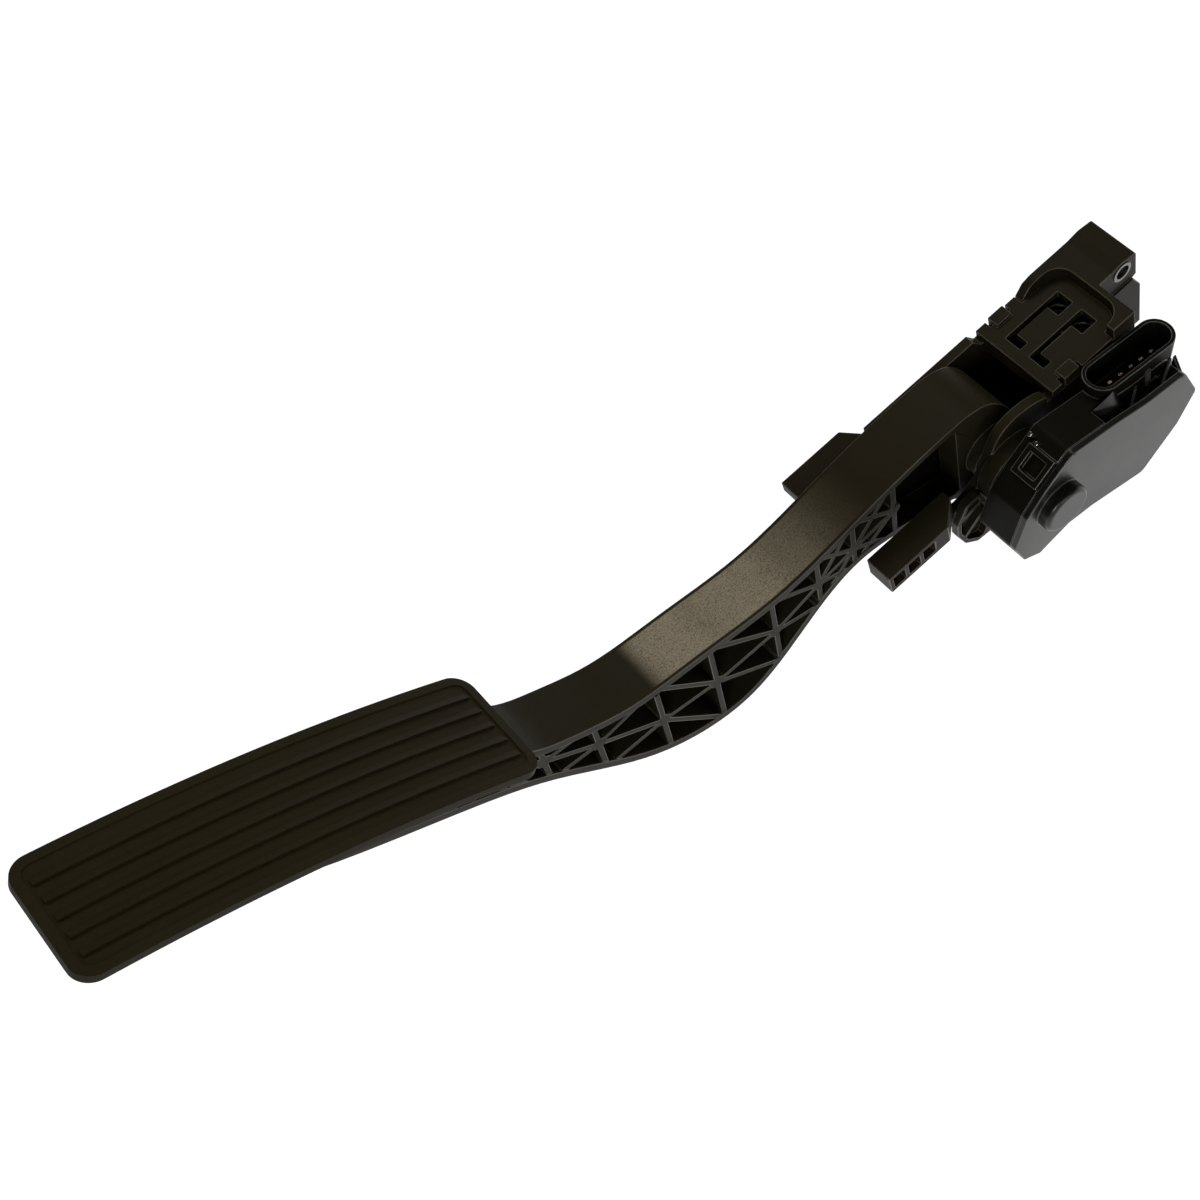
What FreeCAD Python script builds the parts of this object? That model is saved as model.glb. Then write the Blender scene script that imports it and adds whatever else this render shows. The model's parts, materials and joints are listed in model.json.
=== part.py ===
import FreeCAD, Part
import math
import os

V = FreeCAD.Vector
Y_AXIS = V(0, 1, 0)

# All sizes are millimetres. Outlines are (x, z) points about the pedal's pivot axis: x runs from the
# pad to the housing, y across the pedal with the position sensor on the minus side, z towards the driver.

# Pedal arm, one lattice moulding from the drum at the pivot to the carrier plate under the pad.
arm_width = 20.0
arm_flange = 3.0
arm_web = 2.6
rib_thick = 2.0
rib_set_back = 0.4
hub_disc_r = 2.6
drum_r = 22.0
hub_r = 10.0
hub_near = -14.2
hub_far = 11.4
arm_top = [(-12.0, 27.2), (-28.0, 27.0), (-56.0, 23.6), (-86.0, 20.7), (-117.0, 26.4), (-145.0, 33.6),
           (-161.0, 43.6), (-172.5, 53.0)]
arm_nose = [(-12.0, 27.2), (-4.0, 26.2), (2.5, 22.6), (7.0, 16.6), (10.4, 8.6), (13.2, 0.0)]
arm_bottom = [(-14.0, -15.0), (-34.0, -7.0), (-56.0, -0.6), (-84.0, -12.2), (-108.0, -22.4),
              (-136.0, -13.2), (-161.5, 13.8), (-178.5, 35.3), (-201.0, 56.4), (-240.0, 90.5)]
lattice_hubs = [(-218.0, 83.5), (-195.0, 64.0), (-173.5, 43.8), (-157.3, 27.5), (-136.6, 8.6), (-115.9, 3.0),
                (-91.2, 1.8), (-72.0, 6.6), (-56.7, 8.7), (-39.4, 10.4)]
rib_lean = 6.0
rib_reach = 60.0

# Pad: a rubber cover with lengthwise beads, stretched over the arm's curved carrier plate.
pad_root = (-174.4, 62.9)
pad_angle = 34.8
pad_length = 143.4
pad_width = 40.0
pad_bulge = 4.8
pad_thick = 1.6
pad_corner = 6.5
pad_skirt = 1.8
carrier_thick = 1.2
carrier_gap = 0.15
carrier_stations = (8.0, 14.0, 22.0, 40.0, 60.0, 82.0)
bead_count = 5
bead_pitch = 6.0
bead_width = 2.4
bead_height = 0.8
bead_far_height = 0.1
bead_end_margin = 9.5
panel_inset = 3.0
panel_depth = 0.5

# Pivot: a steel shaft turning in two flanged bushes.
shaft_r = 4.0
shaft_fit = 0.05
bush_wall = 2.2
bush_flange = 2.0
bush_flange_thick = 1.2
clip_thick = 1.0
clip_extra_r = 2.2

# Housing: two side walls with a floor, a raised shell round the spring cover, feet and two bolt eyes.
far_inner = 12.0
near_inner = -14.8
wall_thick = 3.5
floor_top = -28.0
floor_thick = 3.0
housing_end = 56.3
end_wall = 2.0
far_wall_top = 17.6
wall_heel = (-28.0, -3.0)
wall_toe = (-22.0, -16.0)
wall_toe_end = -6.0
near_rim = [(18.2, 15.9), (8.3, 20.3), (-0.4, 19.1), (-6.0, 12.0), (-12.0, 1.0), (-19.2, -3.2), (-29.5, 2.0)]
cover_seat = 12.8
shell_top = 20.2
shell_start = 47.0
shell_lip = 38.0
shell_edge = 1.2
ear_half_width = 25.0
ear_front = -56.5
ear_back = -24.0
ear_top = 8.0
ear_thick = {1: 5.0, -1: 9.0}
ear_pocket = 4.7
ear_wall = 1.6
boss_face = -23.5
boss_r = 13.0
fan_face = -21.0
fan_outline = [(-14.0, 0.5), (-20.5, 0.5), (-25.0, -7.0), (-25.5, -14.0), (-23.0, -22.0), (-18.0, -27.5),
               (-6.0, -29.0)]
fan_rib = 1.6
fan_turns = (195.0, 218.0, 241.0)
bolt_r = 2.65
sleeve_wall = 1.05
sleeve_proud = 0.3
eye_near = -3.5
eye_tip = 72.3
upper_bolt = (66.0, 16.2)
lower_bolt = (14.5, -39.0)
lower_eye_r = 7.5
lower_eye_root = 4.0
eye_low = 7.0
eye_cover = 1.1
web_top = 8.0
web_shoulder = 2.0
web_low = -20.0
web_wall = 2.6
web_proud = 0.9

# Spring cover with its two windows, each leaving a flat tongue.
cover_front = 20.6
cover_back = 53.7
cover_thick = 3.2
cover_corner = 6.0
cover_gap = 0.3
window_edges = (6.5, -3.7)
window_start = 25.0
window_end = 48.0
window_slim = 1.7
window_wide = 6.3
window_head = 6.2
window_foot = 3.2
stop_post = (29.0, 35.0)
stop_post_low = 0.5
tab_start = 26.0
tab_length = 6.3
tab_reach = 4.4
tab_rise = 1.2
tab_notch = 1.1

# Return springs between the arm's tail and the cover.
spring_x = 45.0
spring_rows = {"left": 3.3, "right": -6.9}
spring_coil_r = 3.7
spring_wire_r = 0.7
spring_turns = 6.0
spring_sides = 8
seat_r = 4.5
seat_thick = 1.6
tail_top = -11.0
tail_thick = 6.0
tail_end = 50.5
tail_near = -12.2
tail_far = 9.4

# Position sensor: a moulded case with its connector, closed by a flat cover on the outer side.
case_face = -37.5
cover_face = -40.0
case_wall = 2.0
sensor_gap = 0.3
step_z = 3.0
step_depth = 5.6
block_ahead = 19.0
block_behind = 10.0
block_top = 6.0
block_low = -10.0
sensor_corner = 3.4
sensor_outline = [(-18.7, -7.0), (-12.6, 5.9), (-5.0, 12.8), (7.2, 20.8), (25.0, 15.7), (40.0, 10.4),
                  (55.8, 7.4), (61.0, -9.0), (53.0, -20.0), (37.0, -31.6), (14.6, -23.3), (4.0, -21.0),
                  (-9.0, -23.4), (-15.5, -18.5)]
snap_at = (-1.2, 15.4)
snap_turn = 33.0
snap_length = 10.5
snap_from = -27.0
snap_bar = 2.0
snap_rise = 2.0
bump_r = 8.8
bump_height = 4.6
bump_round = 1.6
connector_centre = (44.5, -25.5)
connector_tip_z = 7.5
connector_tilt = 11.0
connector_length = 36.0
connector_width = 12.5
connector_wall = 1.4
connector_rim = 8.0
connector_floor = -5.0
connector_under = -7.0
connector_base = -12.0
neck_length = 21.0
neck_width = 11.3
gusset_thick = 1.2
gusset_places = (7.0, 15.5)
pin_count = 6
pin_pitch = 4.58
pin_width = 1.5
pin_thick = 0.8
board_thick = 1.6
board_y = -34.6
board_outline = [(-9.0, -8.0), (-9.0, 6.0), (8.0, 12.0), (21.0, 0.0), (46.0, -5.0), (49.0, -10.0), (36.0, -23.0),
                 (2.0, -16.0)]
rotor_r = 9.0
rotor_thick = 4.2
magnet_r = 6.0
magnet_thick = 2.0
magnet_fit = 0.02

far_outer = far_inner + wall_thick
near_outer = near_inner - wall_thick
floor_bottom = floor_top - floor_thick
half_arm = arm_width / 2.0
sleeve_r = bolt_r + sleeve_wall
bush_r = shaft_r + shaft_fit + bush_wall
sleeve_near = eye_near - sleeve_proud
sleeve_face = far_outer + sleeve_proud
cover_top = cover_seat + cover_thick


def wire(points):
    """Closed polygon in the plane of the side view."""
    corners = [V(x, 0, z) for x, z in points]
    return Part.makePolygon(corners + corners[:1])


def prism(outline, y0, y1):
    """A side-view outline (points or a wire) carried from y0 to y1."""
    edge = wire(outline) if isinstance(outline, list) else outline
    solid = Part.Face(edge).extrude(V(0, y1 - y0, 0))
    solid.translate(V(0, y0, 0))
    return solid


def disc(r, y0, y1, at=(0.0, 0.0)):
    """A round bar along y."""
    return Part.makeCylinder(r, abs(y1 - y0), V(at[0], min(y0, y1), at[1]), Y_AXIS)


def ring(r_out, r_in, y0, y1, at=(0.0, 0.0)):
    return disc(r_out, y0, y1, at).cut(disc(r_in, y0 - 1, y1 + 1, at))


def box(x0, x1, y0, y1, z0, z1):
    return Part.makeBox(x1 - x0, y1 - y0, z1 - z0, V(x0, y0, z0))


def join(first, *others):
    return first.fuse(list(others)).removeSplitter()


def rounded(solid, direction, r):
    """Fillet the edges that run along a direction."""
    picked = [e for e in solid.Edges if isinstance(e.Curve, Part.Line)
              and abs(abs((e.Vertexes[-1].Point - e.Vertexes[0].Point).normalize().dot(direction)) - 1) < 1e-4]
    return solid.makeFillet(r, picked)


def curve(points):
    """A smooth curve through side-view points."""
    line = Part.BSplineCurve()
    line.interpolate([V(x, 0, z) for x, z in points])
    return line.toShape()


def inset(points, distance):
    """The points moved sideways, square to the run of the line."""
    moved = []
    for i, (x, z) in enumerate(points):
        before = points[max(i - 1, 0)]
        after = points[min(i + 1, len(points) - 1)]
        dx, dz = after[0] - before[0], after[1] - before[1]
        size = math.hypot(dx, dz)
        moved.append((x - dz / size * distance, z + dx / size * distance))
    return moved


def round_loop(points, r):
    """A closed outline with its outward corners rounded."""
    core = Part.Face(wire(points)).makeOffset2D(-r, 2)
    return core.makeOffset2D(r, 0).OuterWire


def inset_loop(loop, distance):
    """A closed outline drawn in by a distance."""
    return Part.Face(loop).makeOffset2D(-distance, 2).OuterWire


def between(top, bottom):
    """Closed wire between an upper and a lower curve."""
    a, b = curve(top), curve(bottom)
    start = Part.makeLine(V(top[0][0], 0, top[0][1]), V(bottom[0][0], 0, bottom[0][1]))
    end = Part.makeLine(V(top[-1][0], 0, top[-1][1]), V(bottom[-1][0], 0, bottom[-1][1]))
    return Part.Wire(Part.__sortEdges__([a, end, b, start]))


# The pad lies along a shallow arc, drawn flat with its arm end at zero and then tilted into place.
pad_radius = (pad_length ** 2 / 4.0 + pad_bulge ** 2) / (2.0 * pad_bulge)
pad_centre = (-pad_length / 2.0, pad_bulge - pad_radius)


def pad_band(top, bottom, half, margin):
    """A curved layer of the pad between two depths below its crown."""
    layer = ring(pad_radius - top, pad_radius - bottom, -half, half, pad_centre)
    return layer.common(box(-pad_length + margin, -margin, -half, half, -pad_length, pad_length))


def pad_plan(half, margin, corner):
    """A round-cornered upright block that trims a layer of the pad in plan."""
    block = box(-pad_length + margin, -margin, -half, half, -30.0, 30.0)
    return rounded(block, V(0, 0, 1), corner)


def place_pad(solid):
    solid.rotate(V(0, 0, 0), Y_AXIS, pad_angle)
    solid.translate(V(pad_root[0], 0, pad_root[1]))
    return solid


def pad_point(along, depth):
    """Side-view point of the tilted pad, by distance from its arm end and depth below its crown."""
    turn = math.asin((pad_length / 2.0 - along) / pad_radius)
    x = pad_centre[0] + (pad_radius - depth) * math.sin(turn)
    z = pad_centre[1] + (pad_radius - depth) * math.cos(turn)
    angle = math.radians(pad_angle)
    return (pad_root[0] + x * math.cos(angle) + z * math.sin(angle),
            pad_root[1] - x * math.sin(angle) + z * math.cos(angle))


def bead_solid(at):
    """One raised bead along the pad, steep on its near side and run out to nothing on the far side."""
    floor = pad_radius - panel_depth
    near, far = at - bead_width / 2.0, at + bead_width / 2.0
    section = [V(pad_centre[0], y, pad_centre[1] + r) for y, r in (
        (near, floor - 0.3), (near, floor + bead_height), (far, floor + bead_far_height), (far, floor - 0.3))]
    sweep = math.degrees(math.asin((pad_length / 2.0 - bead_end_margin) / pad_radius))
    hub = V(pad_centre[0], 0, pad_centre[1])
    profile = Part.Face(Part.makePolygon(section + section[:1]))
    profile.rotate(hub, Y_AXIS, -sweep)
    bead = profile.revolve(hub, Y_AXIS, 2.0 * sweep)
    slot = box(-pad_length + bead_end_margin, -bead_end_margin, near, far, -30.0, 30.0)
    return bead.common(rounded(slot, V(0, 0, 1), bead_width / 2.0 - 0.05))


def pad_cover_solid():
    """Rubber pad: a skirted cap with a sunk panel and raised beads."""
    half = pad_width / 2.0
    depth = pad_thick + carrier_gap + carrier_thick
    cap = pad_band(0.0, depth, half, 0.0).common(pad_plan(half, 0.0, pad_corner))
    room = pad_skirt
    hollow = pad_band(pad_thick, depth + 5.0, half - room, room)
    hollow = hollow.common(pad_plan(half - room, room, pad_corner - room))
    panel = pad_band(-5.0, panel_depth, half - panel_inset, panel_inset)
    panel = panel.common(pad_plan(half - panel_inset, panel_inset, pad_corner - panel_inset))
    entry = pad_band(pad_thick, depth + 5.0, half_arm + 0.4, -2.0)
    entry = entry.common(box(-pad_length / 2.0, 5.0, -half, half, -30.0, 30.0))
    cap = cap.cut(hollow).cut(entry).cut(panel)
    for i in range(bead_count):
        cap = cap.fuse(bead_solid((i - (bead_count - 1) / 2.0) * bead_pitch))
    return place_pad(cap.removeSplitter())


def carrier_solid():
    """Curved plate under the pad, part of the arm's moulding."""
    edge = pad_skirt + carrier_gap
    half = pad_width / 2.0 - edge
    top = pad_thick + carrier_gap
    plate = pad_band(top, top + carrier_thick, half, edge)
    return place_pad(plate.common(pad_plan(half, edge, pad_corner - edge)))


def rib(a, b, face):
    """A straight rib between two side-view points, kept inside the arm's outline."""
    dx, dz = b[0] - a[0], b[1] - a[1]
    size = math.hypot(dx, dz)
    nx, nz = -dz / size * rib_thick / 2.0, dx / size * rib_thick / 2.0
    strip = Part.Face(wire([(a[0] + nx, a[1] + nz), (b[0] + nx, b[1] + nz),
                            (b[0] - nx, b[1] - nz), (a[0] - nx, a[1] - nz)]))
    return strip.common(face)


def crossing(hub, face):
    """Upper and lower ends of the upright rib through a hub."""
    lean = math.radians(rib_lean)
    reach = V(math.sin(lean), 0, math.cos(lean)).multiply(rib_reach)
    middle = V(hub[0], 0, hub[1])
    line = Part.makeLine(middle - reach, middle + reach).common(face)
    ends = [v.Point for v in line.Vertexes if (v.Point - middle).Length < rib_reach - 1.0]
    ends.sort(key=lambda p: p.z)
    return (ends[-1].x, ends[-1].z), (ends[0].x, ends[0].z)


def pedal_arm_solid():
    """Lattice arm with its drum, tail and carrier plate."""
    carrier_depth = pad_thick + carrier_gap + carrier_thick * 0.9
    under_pad = [pad_point(along, carrier_depth) for along in carrier_stations]
    top = arm_top + under_pad
    outline = between(top, arm_bottom)
    face = Part.Face(outline)
    body = face.extrude(V(0, arm_width, 0))
    body.translate(V(0, -half_arm, 0))
    hollow = between(inset(top, arm_flange), inset(arm_bottom, -arm_flange))
    room = Part.Face(hollow)
    body = body.cut(prism(hollow, arm_web / 2.0, half_arm + 1.0))
    body = body.cut(prism(hollow, -half_arm - 1.0, -arm_web / 2.0))
    ends = [crossing(hub, face) for hub in lattice_hubs]
    strips = []
    for i, hub in enumerate(lattice_hubs):
        strips.append(rib(ends[i][0], ends[i][1], face))
        if i + 1 == len(lattice_hubs):
            continue
        other = lattice_hubs[i + 1]
        strips.append(rib(hub, other, face))
        full_cross = hub[0] > -80.0 or other[0] < -170.0
        rising = other[0] < -130.0
        if rising or full_cross:
            strips.append(rib(hub, ends[i + 1][0], face))
            strips.append(rib(other, ends[i][1], face))
        if not rising or full_cross:
            strips.append(rib(hub, ends[i + 1][1], face))
            strips.append(rib(other, ends[i][0], face))
    for hub in lattice_hubs:
        circle = Part.Wire(Part.makeCircle(hub_disc_r, V(hub[0], 0, hub[1]), Y_AXIS))
        strips.append(Part.Face(circle))
    lattice = strips[0].fuse(strips[1:])
    depth = half_arm - rib_set_back
    ribs = [f.extrude(V(0, 2 * depth, 0)) for f in lattice.Faces]
    for piece in ribs:
        piece.translate(V(0, -depth, 0))
    tail = box(0.0, tail_end, tail_near, tail_far, tail_top - tail_thick, tail_top)
    first, last = arm_nose[0], arm_nose[-1]
    back = [V(x, 0, z) for x, z in (last, (last[0], arm_bottom[0][1]), arm_bottom[0], first)]
    nose = prism(Part.Wire([curve(arm_nose)] + Part.makePolygon(back).Edges), -half_arm, half_arm)
    below_tail = box(-drum_r, drum_r, -half_arm, half_arm, -drum_r, tail_top)
    drum = disc(drum_r, -half_arm, half_arm).common(below_tail)
    hub = disc(hub_r, hub_near, hub_far)
    body = body.fuse(ribs + [nose, drum, hub, tail, carrier_solid()])
    return body.cut(disc(shaft_r, hub_near - 1, hub_far + 1)).removeSplitter()


def wall_sides(side):
    """Inner and outer faces of the far (1) or near (-1) side wall."""
    return (far_inner, far_outer) if side > 0 else (near_inner, near_outer)


def ear_solid(side):
    """Outward foot of a side wall at the pad end, cored from its outer side."""
    low = ear_top - ear_thick[side]
    inner, outer = wall_sides(side)
    tip = side * ear_half_width
    plan = [V(ear_front, inner, low), V(ear_back, inner, low), V(ear_back, outer, low),
            V(ear_front + ear_half_width, tip, low), V(ear_front, tip, low)]
    foot = Part.Face(Part.makePolygon(plan + plan[:1])).extrude(V(0, 0, ear_thick[side]))
    core = tip - side * ear_pocket
    for i in range(3):
        x = ear_front + ear_wall + i * (ear_pocket + ear_wall)
        inward = min(core, 2 * tip)
        outward = max(core, 2 * tip)
        foot = foot.cut(box(x, x + ear_pocket, inward, outward, low + ear_wall, ear_top - ear_wall))
    return foot


def cover_room(grow):
    """Upright block over the cover's round-cornered inner end, used to shape the cover and its recess."""
    block = box(0.0, cover_back + grow, near_inner - grow, far_inner + grow, cover_seat, 60.0)
    return rounded(block, V(0, 0, 1), cover_corner + grow)


def shell_solid():
    """Raised shell round the inner end of the spring cover, with the upper bolt eye."""
    low = floor_top
    end_block = [(shell_start, low), (shell_start, shell_top), (housing_end, shell_top), (housing_end, low)]
    near_part = prism(end_block, near_outer, far_outer)
    lip = prism([(shell_lip, low), (shell_lip, cover_top - 0.4), (shell_lip + 3.4, shell_top - 0.8),
                 (shell_lip + 6.4, shell_top), (shell_start + 1.0, shell_top), (shell_start + 1.0, low)],
                far_inner, far_outer)
    shell = near_part.fuse(lip).cut(cover_room(cover_gap))
    shell = shell.cut(box(0.0, housing_end - end_wall, near_inner, far_inner, low - 1.0, cover_seat + 1.0))
    crown = upper_bolt[1] + sleeve_r + eye_cover
    start = cover_back + cover_gap
    eye_side = [(start, eye_low), (start, shell_top), (housing_end + 5.0, shell_top), (upper_bolt[0], crown),
                (eye_tip, crown - 1.0), (eye_tip, eye_low + 1.4), (eye_tip - 2.6, eye_low)]
    eye = prism(eye_side, eye_near, far_outer)
    eye = rounded(eye, Y_AXIS, shell_edge)
    heel, toe = housing_end - 1.0, eye_tip + 1.0
    web = [(heel, web_top), (eye_tip - 2.0, web_top), (toe, web_shoulder), (toe, web_low), (heel, web_low)]
    web_near = eye_near - web_proud
    pocket = prism(inset_loop(wire(web), web_wall), web_near + web_wall, far_outer + 1.0)
    return shell.fuse([eye, prism(web, web_near, far_outer).cut(pocket)])


def fan_solid():
    """Ribbed lug on the near wall below the pivot."""
    lug = prism(round_loop(fan_outline, 2.0), fan_face, near_outer + 0.5)
    inner = inset_loop(round_loop(fan_outline, 2.0), fan_rib)
    pocket = prism(inner, fan_face - 1.0, near_outer)
    for turn in fan_turns:
        bar = box(0.0, 60.0, fan_face - 2.0, near_outer + 1.0, -fan_rib / 2, fan_rib / 2)
        bar.rotate(V(0, 0, 0), Y_AXIS, -turn)
        pocket = pocket.cut(bar)
    return lug.cut(pocket)


def housing_solid():
    """Moulded housing."""
    first, last = near_rim[0], near_rim[-1]
    heel = [(last[0], wall_heel[1]), wall_toe, (wall_toe_end, floor_bottom), (housing_end, floor_bottom),
            (housing_end, cover_seat)]
    far_wall = [wall_heel, (wall_heel[0], far_wall_top), (cover_front - 4.0, far_wall_top),
                (cover_front - 1.0, cover_seat)] + heel[:0:-1]
    corners = [last] + heel + [(first[0], cover_seat), first]
    edge = Part.makePolygon([V(x, 0, z) for x, z in corners])
    near_wall = Part.Wire([curve(near_rim)] + edge.Edges)
    body = prism(far_wall, far_inner, far_outer)
    floor = box(-8.0, housing_end, near_inner - 1, far_inner + 1, floor_bottom, floor_top)
    lower_eye = disc(lower_eye_r, eye_near, far_outer, lower_bolt)
    reach = lower_eye_r + lower_eye_root
    left, right = lower_bolt[0] - reach, lower_bolt[0] + reach
    neck = box(left, right, eye_near, far_outer, lower_bolt[1], floor_top - 1.0)
    for x in (left, right):
        neck = neck.cut(disc(lower_eye_root, eye_near - 1, far_outer + 1, (x, lower_bolt[1])))
    boss = disc(boss_r, boss_face, near_outer + 0.5)
    body = body.fuse([prism(near_wall, near_outer, near_inner), ear_solid(1), ear_solid(-1), floor, shell_solid(),
                      lower_eye, neck, boss, fan_solid()])
    for at in (upper_bolt, lower_bolt):
        body = body.cut(disc(sleeve_r, eye_near - 5, far_outer + 5, at))
    body = body.cut(disc(bush_r, -60, 60))
    body = body.cut(disc(bush_r + bush_flange + 0.6, boss_face - 1, near_outer))
    return body.removeSplitter()


def spring_cover_solid():
    """Cover plate over the springs, clipped on the side walls."""
    near, far = near_outer + 0.1, far_outer - 0.1
    plate = box(cover_front, shell_lip - cover_gap, near, far, cover_seat, cover_top)
    middle = box(cover_front, shell_start - cover_gap, near, far_inner, cover_seat, cover_top)
    inner = cover_room(0.0).common(box(cover_front, 60.0, near, far, cover_seat, cover_top))
    plate = plate.fuse([middle, inner])
    low = cover_seat - 1
    high = cover_top + 1
    for edge in window_edges:
        slim = box(window_start, window_end, edge - window_slim, edge, low, high)
        head = box(window_end - window_head, window_end, edge - window_wide, edge, low, high)
        foot = box(window_start, window_start + window_foot, edge - window_wide, edge, low, high)
        plate = plate.cut(slim.fuse([head, foot]))
    skirt = box(cover_front, cover_front + 2.4, near_inner + 0.4, far_inner - 0.4, cover_seat - 4.0, cover_top)
    post = box(stop_post[0], stop_post[1], -3.0, 0.0, stop_post_low, cover_top - 1.0)
    tabs = []
    for outer, side in ((far, 1), (near, -1)):
        inner_edge = outer - side * tab_reach
        y0, y1 = min(outer, inner_edge), max(outer, inner_edge)
        tabs.append(box(tab_start, tab_start + tab_length, y0, y1, cover_seat, cover_top + tab_rise))
        for x in (tab_start - tab_notch, tab_start + tab_length):
            notch = outer - side * tab_reach / 2
            plate = plate.cut(box(x, x + tab_notch, min(notch, outer) - 0.2, max(notch, outer) + 0.2,
                                  cover_seat - 1, cover_top + 1))
    return join(plate, skirt, post, *tabs)


def spring_solid(y):
    """Helical return spring standing on the arm's tail, its wire drawn with flats."""
    low = tail_top + seat_thick + spring_wire_r + 0.1
    height = cover_seat - spring_wire_r - 0.1 - low
    helix = Part.makeHelix(height / spring_turns, height, spring_coil_r)
    section = [(spring_coil_r + spring_wire_r * math.cos(2 * math.pi * i / spring_sides),
                spring_wire_r * math.sin(2 * math.pi * i / spring_sides)) for i in range(spring_sides)]
    coil = Part.Wire(helix).makePipeShell([wire(section)], True, True)
    coil.translate(V(spring_x, y, low))
    return coil


def snap_frame():
    """Raised frame of the cover's snap hook on the slanted side of the case."""
    span = case_face - 0.02 - snap_from
    outer = box(-snap_length / 2, snap_length / 2, snap_from + span, snap_from, -snap_rise, snap_rise)
    window = box(-snap_length / 2 + snap_bar, snap_length / 2 - snap_bar, snap_from + span + snap_bar,
                 snap_from - snap_bar, -0.4, snap_rise + 1.0)
    frame = outer.cut(window)
    frame.rotate(V(0, 0, 0), Y_AXIS, -snap_turn)
    frame.translate(V(snap_at[0], 0, snap_at[1]))
    return frame


def oval(length, width, z0, z1, shift=0.0):
    """Upright block with round ends, long in x."""
    block = box(shift - length / 2, shift + length / 2, -width / 2, width / 2, z0, z1)
    return rounded(block, V(0, 0, 1), width / 2 - 0.05)


def sensor_case_solid():
    """Sensor case with the connector shroud."""
    back = boss_face - sensor_gap
    loop = round_loop(sensor_outline, sensor_corner)
    body = prism(loop, case_face, back).fuse(snap_frame())
    body = body.cut(prism(inset_loop(loop, case_wall), case_face - 1, back - case_wall - 0.4))
    x0, x1 = connector_centre[0] - block_ahead, connector_centre[0] + block_behind
    block = prism([(x0, block_top), (x1, block_top - 3.4), (x1, block_low), (x0, block_low)],
                  board_y + board_thick + 0.8, near_outer - sensor_gap)
    step_x = x0 - case_wall
    step_y = case_face + step_depth
    roof = box(step_x - case_wall, 70.0, case_face, step_y, step_z - case_wall, step_z)
    roof = roof.fuse(box(step_x - case_wall, step_x, case_face, step_y, step_z - case_wall, 30.0))
    roof = roof.fuse(box(step_x - case_wall, 70.0, step_y, step_y + case_wall, step_z - case_wall, 30.0))
    roof = roof.common(prism(loop, case_face, back))
    body = body.cut(box(step_x, 70.0, case_face - 1, step_y, step_z, 40.0)).fuse([block, roof])
    inner = 2 * connector_wall
    shroud = oval(connector_length, connector_width, connector_under, connector_rim)
    socket = oval(connector_length - inner, connector_width - inner, connector_floor, connector_rim + 5.0)
    neck_shift = (neck_length - connector_length) / 2 + 1.0
    neck = oval(neck_length, neck_width, connector_base, connector_under + 1.0, neck_shift)
    gussets = []
    for x in gusset_places:
        root = -connector_width / 2 + 0.6
        toe = V(x, root - 5.2, connector_base + 4.0)
        side = [V(x, root, connector_under + 6.0), V(x, root, connector_base), toe]
        gussets.append(Part.Face(Part.makePolygon(side + side[:1])).extrude(V(gusset_thick, 0, 0)))
    skirt = oval(connector_length - 4.0, connector_width - 4.0, connector_base, connector_under + 1.0)
    head = place_connector(shroud.fuse([neck, skirt] + gussets))
    body = body.fuse(head).cut(place_connector(socket))
    body = body.cut(disc(shaft_r + 1.0, case_face, 0.0))
    for pin in pins_solids(0.06):
        body = body.cut(pin)
    return body.removeSplitter()


def place_connector(solid):
    solid.rotate(V(0, 0, 0), Y_AXIS, connector_tilt)
    solid.translate(V(connector_centre[0], connector_centre[1], connector_tip_z))
    return solid


def pins_solids(room):
    """Six terminals: a blade in the connector, bent over to the circuit board."""
    found = []
    reach = board_y + board_thick - connector_centre[1]
    for i in range(pin_count):
        x = (i - (pin_count - 1) / 2.0) * pin_pitch
        blade = box(x - pin_width / 2 - room, x + pin_width / 2 + room, -pin_thick / 2 - room,
                    pin_thick / 2 + room, connector_base - 4.0 - room, 0.0)
        leg = box(x - pin_width / 2 - room, x + pin_width / 2 + room, reach + 0.05, pin_thick / 2 + room,
                  connector_base - 4.0 - room, connector_base - 4.0 + pin_thick + room)
        found.append(place_connector(blade.fuse(leg).removeSplitter()))
    return found


def sensor_cover_solid():
    """Flat outer cover with the round bearing bump."""
    loop = round_loop(sensor_outline, sensor_corner)
    plate = prism(loop, cover_face, case_face - 0.02)
    bump = disc(bump_r, cover_face - bump_height, cover_face + 0.5)
    bump = bump.makeFillet(bump_round, [e for e in bump.Edges if e.BoundBox.YMax < cover_face - 1.0])
    lip = prism(inset_loop(loop, case_wall + 0.15), case_face - 0.1, case_face + 1.0)
    step = lip.cut(prism(inset_loop(loop, case_wall + 1.6), case_face - 1, case_face + 2))
    step = step.cut(box(20.0, 70.0, -60.0, 0.0, 0.0, 40.0))
    return join(plate, bump, step)


def board_solid():
    """Circuit board behind the cover."""
    return prism(board_outline, board_y, board_y + board_thick)


shaft_near = boss_face - 5.4
shaft_far = far_outer + bush_flange_thick + clip_thick + 2.6
clip_at = far_outer + bush_flange_thick + 0.3
rotor_at = boss_face - sensor_gap - case_wall - 0.8
magnet_front = rotor_at - rotor_thick
magnet_back = magnet_front + magnet_thick


def bush_solid(side):
    """Flanged bush in one side wall."""
    inner, face = wall_sides(side)
    outer = face + side * bush_flange_thick
    body = disc(bush_r, inner - side * 0.2, outer)
    flange = disc(bush_r + bush_flange, face, outer)
    return join(body, flange).cut(disc(shaft_r + shaft_fit, -60, 60))


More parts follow.
